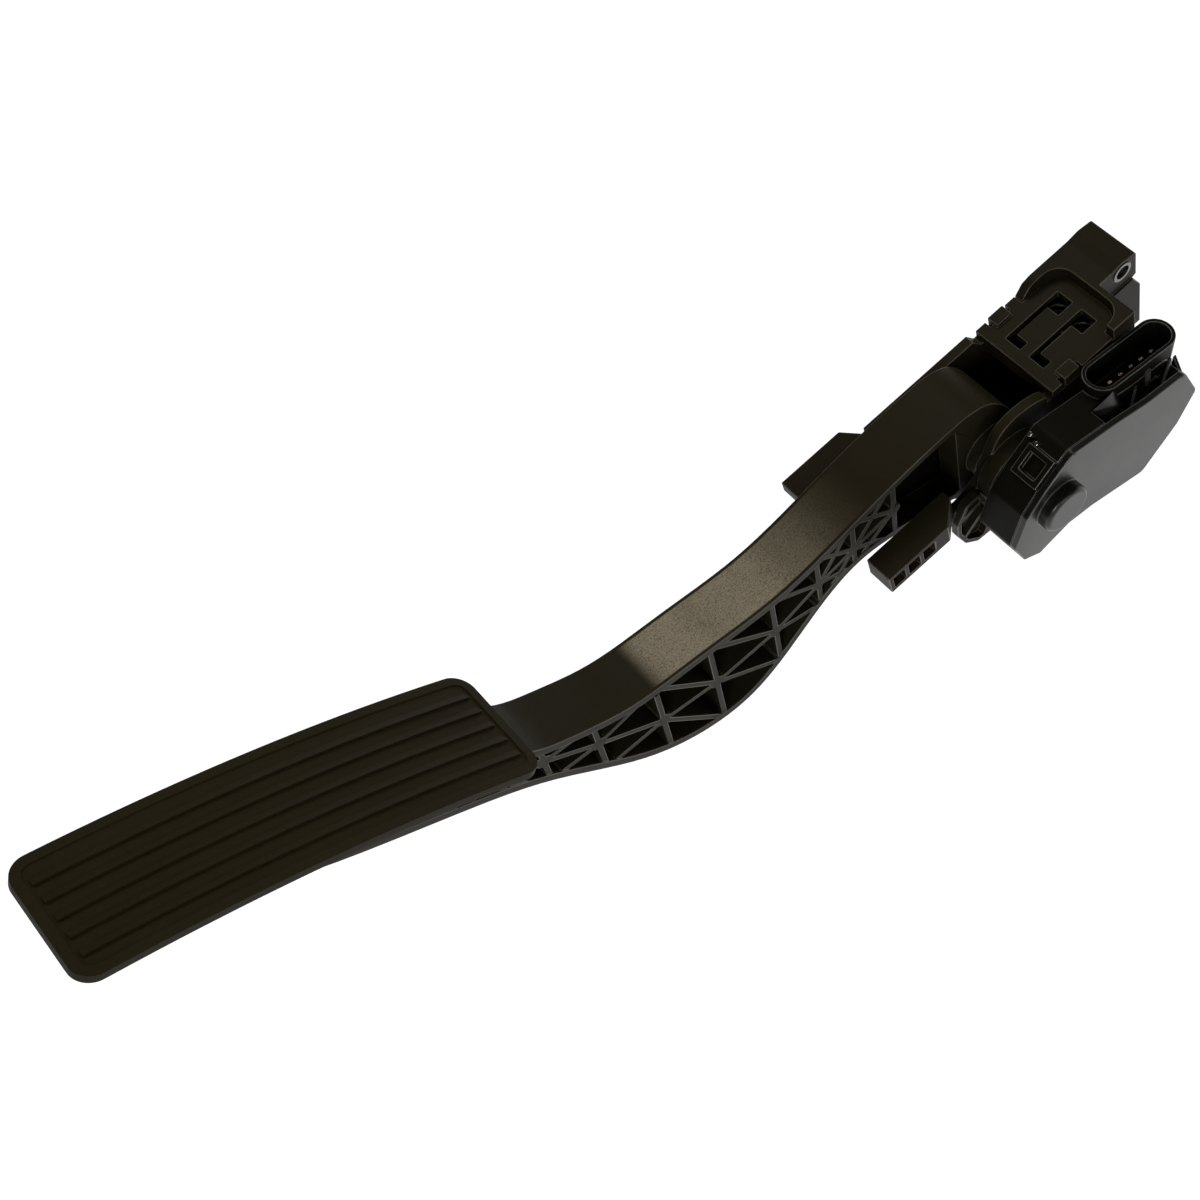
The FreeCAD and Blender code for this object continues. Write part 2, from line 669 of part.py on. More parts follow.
def friction_shoe_solid():
    """Curved friction block on the floor, running against the drum."""
    inner, outer = drum_r + shaft_fit + 0.2, drum_r + 3.8
    band = ring(outer, inner, -half_arm + 1.0, half_arm - 1.0)
    trim = [(0.0, 0.0)] + [(60.0 * math.cos(math.radians(a)), 60.0 * math.sin(math.radians(a)))
                           for a in (238.0, 266.0, 296.0)]
    foot = box(-9.0, 7.0, -half_arm + 1.0, half_arm - 1.0, floor_top, -drum_r - 1.0)
    band = band.common(prism(trim, -60.0, 60.0)).fuse(foot).cut(disc(inner, -60.0, 60.0))
    return band.removeSplitter()


nodes = {
    "housing": housing_solid(),
    "spring_cover": spring_cover_solid(),
    "upper_sleeve": ring(sleeve_r, bolt_r, sleeve_near, sleeve_face, upper_bolt),
    "lower_sleeve": ring(sleeve_r, bolt_r, sleeve_near, sleeve_face, lower_bolt),
    "left_bush": bush_solid(1),
    "right_bush": bush_solid(-1),
    "friction_shoe": friction_shoe_solid(),
    "idle_stop": box(tail_end - 9.0, tail_end - 2.0, -7.0, 7.0, floor_top, tail_top - tail_thick - 0.2),
    "return_spring_left": spring_solid(spring_rows["left"]),
    "return_spring_right": spring_solid(spring_rows["right"]),
    "sensor_case": sensor_case_solid(),
    "sensor_cover": sensor_cover_solid(),
    "circuit_board": board_solid(),
    "hall_chips": Part.makeCompound([box(x, x + 4.0, board_y + board_thick, board_y + board_thick + 1.1, -2.5, 2.5)
                                     for x in (-5.0, 1.0)]),
    "connector_terminals": Part.makeCompound(pins_solids(0.0)),
    "pedal_arm": pedal_arm_solid(),
    "pad_cover": pad_cover_solid(),
    "pivot_shaft": disc(shaft_r, shaft_near, shaft_far).cut(ring(shaft_r + 1, shaft_r - 0.6, clip_at,
                                                                 clip_at + clip_thick)),
    "shaft_clip": ring(shaft_r + clip_extra_r, shaft_r - 0.6, clip_at + 0.05, clip_at + clip_thick - 0.05),
    "sensor_rotor": ring(rotor_r, shaft_r, rotor_at - rotor_thick, rotor_at)
        .cut(ring(magnet_r + magnet_fit, shaft_r - 1, magnet_front - 1, magnet_back + magnet_fit)),
    "rotor_magnet": ring(magnet_r, shaft_r + 0.4, magnet_front, magnet_back),
    "spring_seats": Part.makeCompound([Part.makeCylinder(seat_r, seat_thick, V(spring_x, y, tail_top))
                                       for y in spring_rows.values()]),
}

# The finished part sits with the middle of its two mounting bolts at the origin, on the far sleeve ends.
centre = V((upper_bolt[0] + lower_bolt[0]) / 2.0, sleeve_face, (upper_bolt[1] + lower_bolt[1]) / 2.0)
os.makedirs("parts", exist_ok=True)
for name, solid in nodes.items():
    solid.translate(centre.negative())
    solid.exportStep("parts/" + name + ".step")
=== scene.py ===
import json
import math

import bpy
from mathutils import Matrix, Vector

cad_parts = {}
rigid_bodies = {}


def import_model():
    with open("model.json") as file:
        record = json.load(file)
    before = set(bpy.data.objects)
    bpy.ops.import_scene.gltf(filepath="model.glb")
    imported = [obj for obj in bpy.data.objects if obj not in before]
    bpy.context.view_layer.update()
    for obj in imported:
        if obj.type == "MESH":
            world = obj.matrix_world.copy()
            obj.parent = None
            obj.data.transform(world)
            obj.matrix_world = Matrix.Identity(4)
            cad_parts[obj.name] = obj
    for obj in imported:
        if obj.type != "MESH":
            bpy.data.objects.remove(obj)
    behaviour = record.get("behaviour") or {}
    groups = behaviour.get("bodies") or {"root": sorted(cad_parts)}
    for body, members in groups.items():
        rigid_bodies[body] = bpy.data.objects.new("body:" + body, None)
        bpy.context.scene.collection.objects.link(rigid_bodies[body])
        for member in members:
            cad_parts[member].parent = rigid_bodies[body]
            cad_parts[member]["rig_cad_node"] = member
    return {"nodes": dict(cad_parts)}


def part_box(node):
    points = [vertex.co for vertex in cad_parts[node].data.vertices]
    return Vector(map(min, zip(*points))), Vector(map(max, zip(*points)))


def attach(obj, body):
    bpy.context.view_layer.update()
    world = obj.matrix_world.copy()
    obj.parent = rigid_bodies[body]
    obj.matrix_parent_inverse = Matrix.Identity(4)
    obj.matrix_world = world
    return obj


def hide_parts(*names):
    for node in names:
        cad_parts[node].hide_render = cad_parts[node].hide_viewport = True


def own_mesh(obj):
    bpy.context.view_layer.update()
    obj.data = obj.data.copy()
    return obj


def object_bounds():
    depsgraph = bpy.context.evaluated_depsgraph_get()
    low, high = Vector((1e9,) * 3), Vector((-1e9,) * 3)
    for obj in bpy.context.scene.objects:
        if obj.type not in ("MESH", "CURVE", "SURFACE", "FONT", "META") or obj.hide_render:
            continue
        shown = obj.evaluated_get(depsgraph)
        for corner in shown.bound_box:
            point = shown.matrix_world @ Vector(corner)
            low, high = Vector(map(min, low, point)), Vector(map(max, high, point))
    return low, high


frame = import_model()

cad_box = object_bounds()
nodes = frame["nodes"]
bpy.ops.object.select_all(action="DESELECT")

# Housing: the fixed frame of the pedal, moulded in glass-filled nylon, nearly black with a warm cast.
# It bolts to the car through two steel sleeves and carries the hinge, the springs and the sensor.
# Spark-eroded grain covers every face, and the corners are broken by small radii, coloured lighter as a
# painted edge highlight.
mould_cloud = 0.16
weld_gap = 0.000004
corner_angle = math.radians(38.0)
corner_steps = 2
highlight_slot = 1
shade_angle = math.radians(32.0)
nylon_radius = 0.0003


def mould_grain_group():
    """Shader group: grain height, cloudy roughness and a faint tone drift over a moulding."""
    group = bpy.data.node_groups.new("mould_grain", "ShaderNodeTree")
    sockets = group.interface
    sockets.new_socket("Vector", in_out="INPUT", socket_type="NodeSocketVector")
    for name, value in (("Grain Scale", 1500.0), ("Cloud Scale", 45.0),
                        ("Roughness", 0.5), ("Cloud Amount", 0.1)):
        sockets.new_socket(name, in_out="INPUT", socket_type="NodeSocketFloat").default_value = value
    for name in ("Height", "Roughness", "Cloud"):
        sockets.new_socket(name, in_out="OUTPUT", socket_type="NodeSocketFloat")
    into = group.nodes.new("NodeGroupInput")
    out = group.nodes.new("NodeGroupOutput")
    grain = group.nodes.new("ShaderNodeTexNoise")
    grain.inputs["Detail"].default_value = 2.0
    cloud = group.nodes.new("ShaderNodeTexNoise")
    cloud.inputs["Detail"].default_value = 4.0
    cloud.inputs["Roughness"].default_value = 0.6
    centred = group.nodes.new("ShaderNodeMath")
    centred.operation = "SUBTRACT"
    centred.inputs[1].default_value = 0.5
    spread = group.nodes.new("ShaderNodeMath")
    spread.operation = "MULTIPLY_ADD"
    link = group.links.new
    link(into.outputs["Vector"], grain.inputs["Vector"])
    link(into.outputs["Vector"], cloud.inputs["Vector"])
    link(into.outputs["Grain Scale"], grain.inputs["Scale"])
    link(into.outputs["Cloud Scale"], cloud.inputs["Scale"])
    link(cloud.outputs["Fac"], centred.inputs[0])
    link(centred.outputs[0], spread.inputs[0])
    link(into.outputs["Cloud Amount"], spread.inputs[1])
    link(into.outputs["Roughness"], spread.inputs[2])
    link(grain.outputs["Fac"], out.inputs["Height"])
    link(spread.outputs[0], out.inputs["Roughness"])
    link(cloud.outputs["Fac"], out.inputs["Cloud"])
    return group


mould_grain = mould_grain_group()


def moulded(name, dark, light, roughness, shine=0.5, grain_scale=1500.0, grain_depth=0.00004):
    """A grained moulding material between two tones."""
    material = bpy.data.materials.new(name)
    material.use_nodes = True
    tree = material.node_tree
    shader = tree.nodes["Principled BSDF"]
    shader.inputs["Specular IOR Level"].default_value = shine
    place = tree.nodes.new("ShaderNodeTexCoord")
    grain = tree.nodes.new("ShaderNodeGroup")
    grain.node_tree = mould_grain
    grain.inputs["Grain Scale"].default_value = grain_scale
    grain.inputs["Roughness"].default_value = roughness
    grain.inputs["Cloud Amount"].default_value = mould_cloud
    tone = tree.nodes.new("ShaderNodeMix")
    tone.name = "tone"
    tone.data_type = "RGBA"
    tone.inputs["A"].default_value = (*dark, 1.0)
    tone.inputs["B"].default_value = (*light, 1.0)
    bump = tree.nodes.new("ShaderNodeBump")
    bump.inputs["Distance"].default_value = grain_depth
    tree.links.new(place.outputs["Object"], grain.inputs["Vector"])
    tree.links.new(grain.outputs["Cloud"], tone.inputs["Factor"])
    tree.links.new(tone.outputs["Result"], shader.inputs["Base Color"])
    tree.links.new(grain.outputs["Roughness"], shader.inputs["Roughness"])
    tree.links.new(grain.outputs["Height"], bump.inputs["Height"])
    tree.links.new(bump.outputs["Normal"], shader.inputs["Normal"])
    return material


def merged_copy(name, ending):
    """A copy of a CAD piece with a mesh of its own, its loose triangles joined."""
    piece = nodes[name].copy()
    piece.data = nodes[name].data.copy()
    del piece["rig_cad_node"]
    piece.name = name + ending
    bpy.context.collection.objects.link(piece)
    bpy.context.view_layer.objects.active = piece
    piece.select_set(True)
    bpy.ops.object.mode_set(mode="EDIT")
    bpy.ops.mesh.select_all(action="SELECT")
    bpy.ops.mesh.remove_doubles(threshold=weld_gap)
    bpy.ops.object.mode_set(mode="OBJECT")
    return piece


def radiused(name, body, material, edge_highlight, radius):
    """Stand a copy of a moulding in place of the plain solid, its corners broken by a radius in the second
    material; a lighter one there is a painted edge highlight.
    """
    piece = merged_copy(name, "_moulding")
    piece.data.materials.clear()
    piece.data.materials.append(material)
    piece.data.materials.append(edge_highlight)
    edge = piece.modifiers.new("radius", "BEVEL")
    edge.width = radius
    edge.segments = corner_steps
    edge.limit_method = "ANGLE"
    edge.angle_limit = corner_angle
    edge.use_clamp_overlap = False
    edge.miter_outer = "MITER_ARC"
    edge.material = highlight_slot
    bpy.ops.object.modifier_apply(modifier="radius")
    bpy.ops.object.shade_smooth_by_angle(angle=shade_angle)
    weigh = piece.modifiers.new("flats", "WEIGHTED_NORMAL")
    weigh.keep_sharp = True
    weigh.weight = 100
    bpy.ops.object.modifier_apply(modifier="flats")
    piece.select_set(False)
    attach(piece, body)
    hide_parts(name)
    return piece


nylon = moulded("black_nylon", dark=(0.0085, 0.0066, 0.0026), light=(0.0130, 0.0105, 0.0050),
                roughness=0.50, shine=0.12)
# The second, lighter nylon colours the broken corners: a painted edge highlight.
nylon_edge_highlight = moulded("nylon_painted_edge_highlight", dark=(0.012, 0.010, 0.005), light=(0.075, 0.066, 0.046),
                       roughness=0.36, shine=0.4)
radiused("housing", "base", nylon, nylon_edge_highlight, nylon_radius)

# Sleeves, shaft and clip: steel, turned or stamped, and pressed in the mouldings.
# Only their ends show, dulled by handling and an oil film.
metal_cloud = 0.25
dull_share = 0.7


def metal(name, colour, roughness, streak_scale):
    """A drawn or turned metal with fine streaks."""
    material = bpy.data.materials.new(name)
    material.use_nodes = True
    tree = material.node_tree
    shader = tree.nodes["Principled BSDF"]
    shader.inputs["Metallic"].default_value = 1.0
    place = tree.nodes.new("ShaderNodeTexCoord")
    grain = tree.nodes.new("ShaderNodeGroup")
    grain.node_tree = mould_grain
    grain.inputs["Cloud Scale"].default_value = streak_scale
    grain.inputs["Roughness"].default_value = roughness
    grain.inputs["Cloud Amount"].default_value = metal_cloud
    tone = tree.nodes.new("ShaderNodeMix")
    tone.data_type = "RGBA"
    tone.inputs["A"].default_value = (*[dull_share * part for part in colour], 1.0)
    tone.inputs["B"].default_value = (*colour, 1.0)
    tree.links.new(place.outputs["Object"], grain.inputs["Vector"])
    tree.links.new(grain.outputs["Cloud"], tone.inputs["Factor"])
    tree.links.new(tone.outputs["Result"], shader.inputs["Base Color"])
    tree.links.new(grain.outputs["Roughness"], shader.inputs["Roughness"])
    return material


def finish_node(name, material):
    """Give a CAD piece its material."""
    slots = nodes[name].data.materials
    slots.clear()
    slots.append(material)


steel = metal("turned_steel", colour=(0.22, 0.22, 0.20), roughness=0.38, streak_scale=300.0)
for piece in ("upper_sleeve", "lower_sleeve", "pivot_shaft", "shaft_clip"):
    finish_node(piece, steel)

# Bushes, friction shoe, rotor and spring seats: natural acetal, moulded to size and pushed into place.
# The resin is off-white and slightly waxy.
acetal = moulded("acetal", dark=(0.55, 0.53, 0.46), light=(0.66, 0.64, 0.57), roughness=0.4)
for piece in ("left_bush", "right_bush", "friction_shoe", "sensor_rotor", "spring_seats"):
    finish_node(piece, acetal)

# Pedal arm: one moulding in the same nylon, a flanged lattice from the pad carrier to the hinge.
# Its upper flange over the bend is lightened in colour, a painted sheen, from a clear edge by the pad to a
# soft fade by the hinge.
# The web at the bottom of the lattice's pockets, which little light reaches, is coloured near black as
# painted shade.
arm_middle = sum(corner.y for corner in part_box("pad_cover")) / 2.0
pocket_half = 0.006
wall_facing = 0.9
sheen_side_fade = 0.0004
sheen_skin_low = 0.0022
sheen_skin_high = 0.0014
fine_sheen_grain = {"scale": 2200.0, "stretch": (1.0, 1.0, 1.0), "low": 0.05, "high": 0.68}
long_sheen_bands = {"scale": 46.0, "stretch": (1.0, 0.3, 0.3), "low": -0.1, "high": 0.62}


def painted_sheen(material, sheen_colour, start, full, fade, end, half_width, dip, dip_level, rise):
    """Lighten a material's colour along the top of the arm, between two places on its length, as a painted
    sheen.

    The flange's top is taken as a parabola, lowest at dip and there at dip_level.
    What lies below it stays dark.
    """
    tree = material.node_tree
    shader = tree.nodes["Principled BSDF"]
    place = tree.nodes.new("ShaderNodeTexCoord")
    axes = tree.nodes.new("ShaderNodeSeparateXYZ")
    tree.links.new(place.outputs["Object"], axes.inputs["Vector"])

    def ramp(source, low, high):
        """Nought below low and one above high."""
        node = tree.nodes.new("ShaderNodeMapRange")
        node.interpolation_type = "SMOOTHSTEP"
        node.inputs["From Min"].default_value = low
        node.inputs["From Max"].default_value = high
        tree.links.new(source, node.inputs["Value"])
        return node.outputs["Result"]

    def sums(operation, first, second):
        """One arithmetic step between sockets or numbers."""
        node = tree.nodes.new("ShaderNodeMath")
        node.operation = operation
        for socket, value in zip(node.inputs, (first, second)):
            if isinstance(value, float):
                socket.default_value = value
            else:
                tree.links.new(value, socket)
        return node.outputs[0]

    along = axes.outputs["X"]
    across = sums("ABSOLUTE", sums("SUBTRACT", axes.outputs["Y"], arm_middle), 0.0)
    from_dip = sums("SUBTRACT", along, dip)
    skin = sums("SUBTRACT", axes.outputs["Z"], sums("MULTIPLY", sums("MULTIPLY", from_dip, from_dip), rise))
    mask = sums("MULTIPLY", ramp(along, start, full), sums("SUBTRACT", 1.0, ramp(along, fade, end)))
    side = ramp(across, half_width - sheen_side_fade, half_width)
    mask = sums("MULTIPLY", mask, sums("SUBTRACT", 1.0, side))
    mask = sums("MULTIPLY", mask, ramp(skin, dip_level - sheen_skin_low, dip_level - sheen_skin_high))
    for sheen_noise in (fine_sheen_grain, long_sheen_bands):
        squeeze = tree.nodes.new("ShaderNodeMapping")
        squeeze.inputs["Scale"].default_value = sheen_noise["stretch"]
        noise = tree.nodes.new("ShaderNodeTexNoise")
        noise.inputs["Scale"].default_value = sheen_noise["scale"]
        noise.inputs["Detail"].default_value = 3.0
        tree.links.new(place.outputs["Object"], squeeze.inputs["Vector"])
        tree.links.new(squeeze.outputs["Vector"], noise.inputs["Vector"])
        mask = sums("MULTIPLY", mask, ramp(noise.outputs["Fac"], sheen_noise["low"], sheen_noise["high"]))
    sheen_mix = tree.nodes.new("ShaderNodeMix")
    sheen_mix.data_type = "RGBA"
    sheen_mix.inputs["B"].default_value = (*sheen_colour, 1.0)
    tree.links.new(mask, sheen_mix.inputs["Factor"])
    tree.links.new(tree.nodes["tone"].outputs["Result"], sheen_mix.inputs["A"])
    tree.links.new(sheen_mix.outputs["Result"], shader.inputs["Base Color"])


arm_nylon = moulded("arm_nylon_painted_sheen", dark=(0.0095, 0.0075, 0.0032), light=(0.0140, 0.0114, 0.0056),
                    roughness=0.50, shine=0.12)
# Painted sheen: the top of the arm's flange is lightened in colour over the bend.
painted_sheen(arm_nylon, sheen_colour=(0.200, 0.170, 0.118), start=-0.1755, full=-0.1690, fade=-0.138, end=-0.084,
            half_width=0.0090, dip=-0.1222, dip_level=0.0322, rise=3.6)
arm = radiused("pedal_arm", "pedal", arm_nylon, nylon_edge_highlight, nylon_radius)
# Painted shade: the pocket webs take a near-black colour.
pocket_painted_shade = moulded("pocket_painted_shade", dark=(0.0012, 0.0010, 0.0005), light=(0.0020, 0.0016, 0.0008),
                       roughness=0.6, shine=0.05)
painted_shade_slot = len(arm.data.materials)
arm.data.materials.append(pocket_painted_shade)
for face in arm.data.polygons:
    if abs(face.normal.y) > wall_facing and abs(face.center.y - arm_middle) < pocket_half:
        face.material_index = painted_shade_slot

# Pad cover: moulded rubber drawn over the carrier, with five beads along its face.
# It has a soft matt bloom, and the rubber idle stop in the housing is finished like it.
pad_edge = 0.00018
pad_rubber = moulded("pad_rubber", dark=(0.0110, 0.0084, 0.0030), light=(0.0150, 0.0120, 0.0052),
                     roughness=0.6, shine=0.1, grain_scale=900.0)
radiused("pad_cover", "pedal", pad_rubber, pad_rubber, pad_edge)
finish_node("idle_stop", pad_rubber)

# Pad beads: five ridges of the same rubber, moulded with the cover and run nearly to both ends of its panel.
# Each has a steep side towards the sensor and slopes away to almost nothing on the other.
pad_length = 0.1434
pad_bulge = 0.0048
pad_tilt = math.radians(34.8)
pad_root = Vector((-0.21465, arm_middle, 0.0743))
panel_depth = 0.0005
bead_count = 5
bead_pitch = 0.006
bead_margin = 0.0042
bead_half = 0.00125
bead_near_height = 0.00092
bead_far_height = 0.00012
bead_sunk = 0.0001
bead_steps = 40
pad_radius = (pad_length ** 2 / 4.0 + pad_bulge ** 2) / (2.0 * pad_bulge)
bead_floor = pad_radius - panel_depth
bead_sweep = 2.0 * math.asin((pad_length / 2.0 - bead_margin) / pad_radius)
bead_first = Matrix.Translation((0.0, -bead_pitch * (bead_count - 1) / 2.0, 0.0))
pad_hub = Matrix.Translation((-pad_length / 2.0, 0.0, pad_bulge - pad_radius))
pad_to_row = Matrix.Translation(pad_root) @ Matrix.Rotation(pad_tilt, 4, "Y") @ pad_hub
piece_shade = math.radians(35.0)


def nudge(piece, chosen, shift):
    """Move the corners of a piece that pass a test."""
    bpy.ops.object.mode_set(mode="EDIT")
    bpy.ops.mesh.select_all(action="DESELECT")
    bpy.ops.object.mode_set(mode="OBJECT")
    for corner in piece.data.vertices:
        corner.select = chosen(corner.co)
    bpy.ops.object.mode_set(mode="EDIT")
    bpy.ops.transform.translate(value=shift)
    bpy.ops.object.mode_set(mode="OBJECT")


def settle(piece, name, body, material):
    """Finish a modelled piece: its place put in its mesh, smooth faces, finish and body."""
    piece.name = name
    bpy.ops.object.transform_apply(location=True, rotation=True, scale=True)
    bpy.ops.object.shade_smooth_by_angle(angle=piece_shade)
    piece.data.materials.clear()
    piece.data.materials.append(material)
    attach(piece, body)
    piece.select_set(False)


def copies(first, stem, shifts):
    """Copy a finished piece to further places, each copy with its own mesh."""
    for number, shift in enumerate(shifts, 2):
        piece = first.copy()
        piece.data = first.data.copy()
        piece.name = stem + str(number)
        bpy.context.collection.objects.link(piece)
        bpy.context.view_layer.objects.active = piece
        piece.select_set(True)
        bpy.ops.transform.translate(value=shift)
        bpy.ops.object.transform_apply(location=True, rotation=True, scale=True)
        piece.select_set(False)


bpy.ops.mesh.primitive_plane_add(size=2.0 * bead_half, location=(0.0, 0.0, bead_floor),
                                 rotation=(0.0, math.pi / 2.0, 0.0))
bead = bpy.context.object
bpy.ops.object.transform_apply(location=True, rotation=True, scale=True)
nudge(bead, lambda co: co.z < bead_floor, (0.0, 0.0, bead_half - bead_sunk))
nudge(bead, lambda co: co.z > bead_floor and co.y < 0.0, (0.0, 0.0, bead_near_height - bead_half))
nudge(bead, lambda co: co.z > bead_floor and co.y > 0.0, (0.0, 0.0, bead_far_height - bead_half))
bpy.ops.object.mode_set(mode="EDIT")
bpy.ops.mesh.select_all(action="SELECT")
bpy.ops.mesh.spin(steps=bead_steps, angle=bead_sweep, center=(0.0, 0.0, 0.0), axis=(0.0, -1.0, 0.0))
bpy.ops.mesh.select_all(action="SELECT")
bpy.ops.mesh.remove_doubles(threshold=weld_gap)
bpy.ops.mesh.normals_make_consistent(inside=False)
bpy.ops.object.mode_set(mode="OBJECT")
bead.matrix_world = bead_first @ pad_to_row @ Matrix.Rotation(-bead_sweep / 2.0, 4, "Y")
settle(bead, "pad_bead_1", "pedal", pad_rubber)
copies(bead, "pad_bead_", [(0.0, i * bead_pitch, 0.0) for i in range(1, bead_count)])

# Return springs: two coils of drawn spring wire, side by side under the cover, with a light oil film.
# On the car they shorten as the pedal's tail rises; here each is a fixed copy of its coil that rides with the
# housing.
spring_steel = metal("spring_wire", colour=(0.52, 0.48, 0.40), roughness=0.42, streak_scale=400.0)
wire_shade = math.radians(50.0)
for side in ("left", "right"):
    node = "return_spring_" + side
    coil = merged_copy(node, "_wire")
    coil.data.materials.clear()
    coil.data.materials.append(spring_steel)
    bpy.ops.object.shade_smooth_by_angle(angle=wire_shade)
    coil.select_set(False)
    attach(coil, "base")
    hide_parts(node)
    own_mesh(coil)

# Spring cover: a moulded plate in the housing's nylon, with two windows over the springs.
# It is clipped down between the housing's walls and holds the springs' upper ends. Its radii take the lighter
# nylon, a painted edge highlight.
cover_radius = 0.00025
radiused("spring_cover", "base", nylon, nylon_edge_highlight, cover_radius)

# Sensor case and cover: black mouldings of a finer grain, the case dull and the cover glossier.
# The upright connector is part of the case, and the cover is welded round its edge. The radii of both take a
# lighter black, a painted edge highlight.
case_radius = 0.00025
sensor_cover_radius = 0.0004
case_black = moulded("case_black", dark=(0.0030, 0.0027, 0.0014), light=(0.0048, 0.0044, 0.0025),
                     roughness=0.46, shine=0.08, grain_depth=0.00003)
sensor_black = moulded("sensor_black", dark=(0.0036, 0.0034, 0.0024), light=(0.0056, 0.0054, 0.0040),
                       roughness=0.34, shine=0.4, grain_depth=0.00002)
# A lighter black for the broken corners, the fins and the rib: a painted highlight.
sensor_edge_highlight = moulded("sensor_painted_edge_highlight", dark=(0.012, 0.012, 0.010), light=(0.085, 0.084, 0.074),
                        roughness=0.30, shine=0.5)
radiused("sensor_case", "base", case_black, sensor_edge_highlight, case_radius)
radiused("sensor_cover", "base", sensor_black, sensor_edge_highlight, sensor_cover_radius)

# Connector neck: the glossy half-round column under the connector's end, moulded with the case.
# It stands on the floor of the case's step and draws in, in a flare, to the connector's wall at its top.
# Each step of it gives its rise and the share of its width and depth that it keeps.
step_floor = 0.0142
wall_line = -0.0470
neck_r = 0.0074
neck_x = -0.0127
neck_depth = 0.74
neck_sides = 64
neck_steps = ((0.0074, 1.0, 1.0), (0.0013, 0.97, 0.76), (0.0014, 0.96, 0.70),
              (0.0016, 0.96, 0.62), (0.0018, 0.98, 0.36))
neck_foot = (neck_x, wall_line, step_floor)
neck_black = moulded("neck_black", dark=(0.0036, 0.0036, 0.0028), light=(0.0056, 0.0056, 0.0044),
                     roughness=0.20, shine=0.5, grain_depth=0.00001)
bpy.ops.mesh.primitive_circle_add(vertices=neck_sides, radius=neck_r, fill_type="NGON", location=neck_foot)
neck = bpy.context.object
bpy.ops.object.transform_apply(location=True, rotation=True, scale=True)
bpy.ops.object.mode_set(mode="EDIT")
bpy.ops.mesh.select_all(action="SELECT")
bpy.ops.transform.resize(value=(1.0, neck_depth, 1.0), center_override=neck_foot)
for rise, along, out in neck_steps:
    bpy.ops.mesh.extrude_region_move(TRANSFORM_OT_translate={"value": (0.0, 0.0, rise)})
    bpy.ops.transform.resize(value=(along, out, 1.0), center_override=neck_foot)
bpy.ops.mesh.select_all(action="SELECT")
bpy.ops.mesh.bisect(plane_co=neck_foot, plane_no=(0.0, 1.0, 0.0), use_fill=True, clear_outer=True)
bpy.ops.mesh.select_all(action="SELECT")
bpy.ops.mesh.normals_make_consistent(inside=False)
bpy.ops.object.mode_set(mode="OBJECT")
flow = neck.modifiers.new("flow", "SUBSURF")
flow.levels = flow.render_levels = 1
bpy.ops.object.modifier_apply(modifier="flow")
settle(neck, "connector_neck", "base", neck_black)

# Connector fins and rib: thin braces of the same moulding, beside the neck, from the step to the connector.
# Each fin's upper edge slopes from its root at the connector's wall to its toe, and the rib is half round.
# Fins and rib take the lighter edge colour all over, a painted highlight.
fin_thick = 0.0008
fin_edge = 0.00018
fin_edge_steps = 2
fin_lines = (((0.00235, -0.0475, 0.0193), (-0.0070, -0.0531, 0.0177)),
             ((0.01765, -0.0475, 0.0166), (0.0066, -0.0531, 0.0158)))
for number, (root, toe) in enumerate(fin_lines, 1):
    root, toe = Vector(root), Vector(toe)
    slope = toe - root
    across = Vector((-slope.y, slope.x, 0.0))
    upward = slope.cross(across).normalized()
    height = root.z - step_floor
    middle = ((root.x + toe.x) / 2.0, (root.y + toe.y) / 2.0, step_floor + height / 2.0)
    bpy.ops.mesh.primitive_cube_add(size=1.0, location=middle, scale=(across.length, fin_thick, height),
                                    rotation=(0.0, 0.0, math.atan2(slope.y, slope.x)))
    fin = bpy.context.object
    bpy.ops.object.transform_apply(location=True, rotation=True, scale=True)
    bpy.ops.object.mode_set(mode="EDIT")
    bpy.ops.mesh.select_all(action="SELECT")
    bpy.ops.mesh.bisect(plane_co=root, plane_no=upward, use_fill=True, clear_outer=True)
    bpy.ops.mesh.select_all(action="SELECT")
    bpy.ops.mesh.normals_make_consistent(inside=False)
    bpy.ops.object.mode_set(mode="OBJECT")
    edge = fin.modifiers.new("radius", "BEVEL")
    edge.width = fin_edge
    edge.segments = fin_edge_steps
    bpy.ops.object.modifier_apply(modifier="radius")
    settle(fin, "connector_fin_%d" % number, "base", sensor_edge_highlight)

rib_r = 0.0011
rib_top = 0.0225
rib_sides = 20
rib_place = (0.0072, -0.0476, (rib_top + step_floor) / 2.0)
bpy.ops.mesh.primitive_cylinder_add(vertices=rib_sides, radius=rib_r, depth=rib_top - step_floor,
                                    location=rib_place)
rib = bpy.context.object
bpy.ops.object.transform_apply(location=True, rotation=True, scale=True)
bpy.ops.object.mode_set(mode="EDIT")
bpy.ops.mesh.select_all(action="SELECT")
bpy.ops.mesh.bisect(plane_co=neck_foot, plane_no=(0.0, 1.0, 0.0), use_fill=True, clear_outer=True)
bpy.ops.object.mode_set(mode="OBJECT")
settle(rib, "connector_rib", "base", sensor_edge_highlight)

# Dowels: two bright steel pins with rounded ends that locate the sensor.
# They are ground to size and pressed in the slanted side of its case.
dowel_r = 0.0009
dowel_length = 0.0030
dowel_sides = 24
dowel_edge = 0.0003
dowel_edge_steps = 3
dowel_lean = math.radians(-33.0)
dowel_place = (-0.0356, -0.0410, 0.0307)
dowel_step = (-0.0010, -0.0034, -0.0007)
dowel_steel = metal("ground_steel", colour=(0.70, 0.70, 0.66), roughness=0.30, streak_scale=300.0)
bpy.ops.mesh.primitive_cylinder_add(vertices=dowel_sides, radius=dowel_r, depth=dowel_length,
                                    location=dowel_place, rotation=(0.0, dowel_lean, 0.0))
dowel = bpy.context.object
edge = dowel.modifiers.new("radius", "BEVEL")
edge.width = dowel_edge
edge.segments = dowel_edge_steps
edge.limit_method = "ANGLE"
bpy.ops.object.modifier_apply(modifier="radius")
settle(dowel, "sensor_dowel_1", "base", dowel_steel)
copies(dowel, "sensor_dowel_", [dowel_step])

